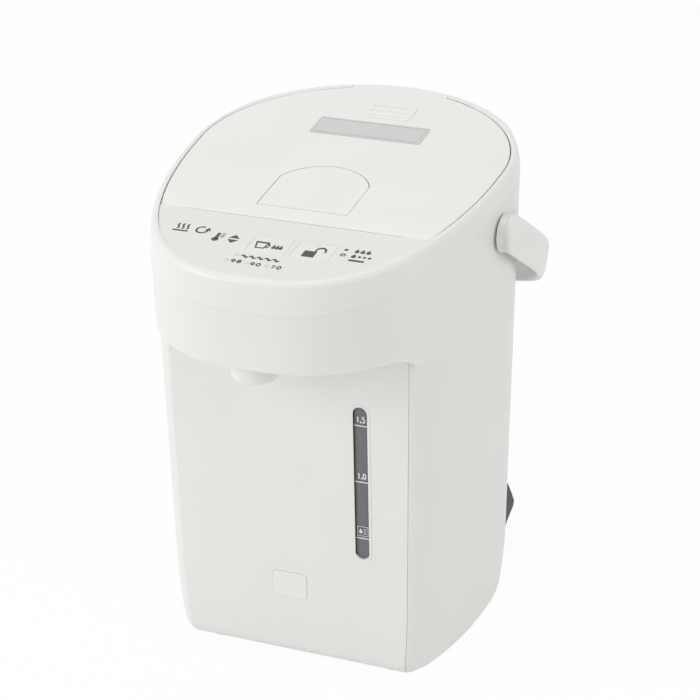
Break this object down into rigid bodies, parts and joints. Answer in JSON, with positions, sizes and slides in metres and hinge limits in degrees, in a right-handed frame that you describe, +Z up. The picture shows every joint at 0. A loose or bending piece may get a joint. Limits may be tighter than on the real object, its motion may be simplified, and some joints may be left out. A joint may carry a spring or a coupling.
{
  "type": "electric thermo pot",
  "caption": "Oval electric thermo pot with a hinged lid, release lever, bail handle, level window, spout under a projecting nose and a bottom pump.",
  "frame": {"origin": "on the table under the middle of the whole pot, handle included", "axes": "+Z up, the spout and controls face -Y, +X is the level window's side"},
  "size_m": [0.196, 0.2338, 0.2725],
  "materials": {
    "shell_white": "satin moulded",
    "panel_white": "fine grain",
    "ring_white": "satin moulded",
    "lid_white": "satin moulded, warm white",
    "control_film": "printed film",
    "inner_plastic": "natural",
    "window_clear": "smoked clear plastic",
    "tube_clear": "clear",
    "silicone": "translucent silicone",
    "steel_satin": "satin",
    "steel_bright": "bright",
    "foil": "foil faced",
    "magnet": "sintered",
    "board_green": "solder mask",
    "foot_rubber": "matt",
    "inlet_black": "satin black",
    "brass": "plated",
    "label_silver": "bare silver film"
  },
  "bodies": {
    "pot": {"outer_shell": "shell_white", "front_panel": "panel_white", "gauge_window": "window_clear", "badge": "panel_white", "top_ring": "ring_white", "lid_well": "inner_plastic", "control_frame": "inner_plastic", "control_panel": "control_film", "control_board": "board_green", "light_guides": "tube_clear", "nozzle": "ring_white", "outlet_pipe": "silicone", "valve_body": "inner_plastic", "level_tube": "tube_clear", "discharge_hose": "silicone", "suction_hose": "silicone", "pump_cover": "inner_plastic", "pump_housing": "inner_plastic", "pump_motor": "steel_satin", "inner_vessel": "steel_satin", "vessel_seal": "silicone", "insulation_wrap": "foil", "heater_plate": "steel_satin", "temperature_sensor": "magnet", "thermal_fuse": "inner_plastic", "vessel_bracket": "steel_satin", "base_cover": "inner_plastic", "feet": "foot_rubber", "base_screws": "steel_satin", "power_board": "board_green", "inlet_hood": "inlet_black", "inlet_contacts": "brass", "inlet_magnets": "steel_satin", "hinge_bracket": "lid_white", "hinge_pin": "steel_satin", "handle_pins": "inner_plastic"},
    "lid": {"lid_cover": "lid_white", "lid_base": "inner_plastic", "inner_lid": "steel_satin", "lid_gasket": "silicone", "steam_cap": "lid_white", "data_plate": "label_silver", "lever_pin": "steel_satin", "lever_spring": "steel_satin"},
    "lever": {"lid_lever": "lid_white"},
    "latch": {"lid_latch": "steel_satin"},
    "bail": {"handle": "shell_white"},
    "dispense": {"dispense_key": "control_film"},
    "unlock": {"unlock_key": "control_film"},
    "pump_rotor": {"drive_magnet": "magnet"},
    "pump_wheel": {"impeller": "inner_plastic"},
    "tip_ball": {"valve_ball": "steel_bright"}
  },
  "joints": [
    {"name": "lid_hinge", "type": "hinge", "parent": "pot", "child": "lid", "pos_m": [0, 0.1004, 0.26765], "axis": [-1, 0, 0], "range_deg": [0, 82]},
    {"name": "lever_lift", "type": "hinge", "parent": "lid", "child": "lever", "pos_m": [0.0006, -0.0367, 0.25289], "axis": [1, 0, 0], "range_deg": [0, 28]},
    {"name": "latch_slide", "type": "slide", "parent": "lid", "child": "latch", "axis": [0, 0.9923, 0.124], "range_m": [0, 0.0034], "stiffness_N_per_m": 120, "springref_m": -0.0005},
    {"name": "handle_swing", "type": "hinge", "parent": "pot", "child": "bail", "pos_m": [0, 0.006, 0.235], "axis": [1, 0, 0], "range_deg": [0, 121]},
    {"name": "dispense_press", "type": "slide", "parent": "pot", "child": "dispense", "axis": [0, 0.124, -0.9923], "range_m": [0, 0.0008], "stiffness_N_per_m": 1500, "springref_m": -0.0005},
    {"name": "unlock_press", "type": "slide", "parent": "pot", "child": "unlock", "axis": [0, 0.124, -0.9923], "range_m": [0, 0.0008], "stiffness_N_per_m": 1500, "springref_m": -0.0005},
    {"name": "motor_spin", "type": "hinge", "parent": "pot", "child": "pump_rotor", "pos_m": [-0.024, -0.034, 0.022], "axis": [0, 0, 1], "continuous": true},
    {"name": "impeller_spin", "type": "hinge", "parent": "pot", "child": "pump_wheel", "pos_m": [-0.024, -0.034, 0.03], "axis": [0, 0, 1], "continuous": true},
    {"name": "tip_ball_lift", "type": "slide", "parent": "pot", "child": "tip_ball", "axis": [0, 0, 1], "range_m": [0, 0.005]}
  ],
  "couplings": [
    {"joint": "lever_lift", "follows": "latch_slide", "rad_per_m": 138.89},
    {"joint": "impeller_spin", "follows": "motor_spin", "ratio": 1}
  ]
}
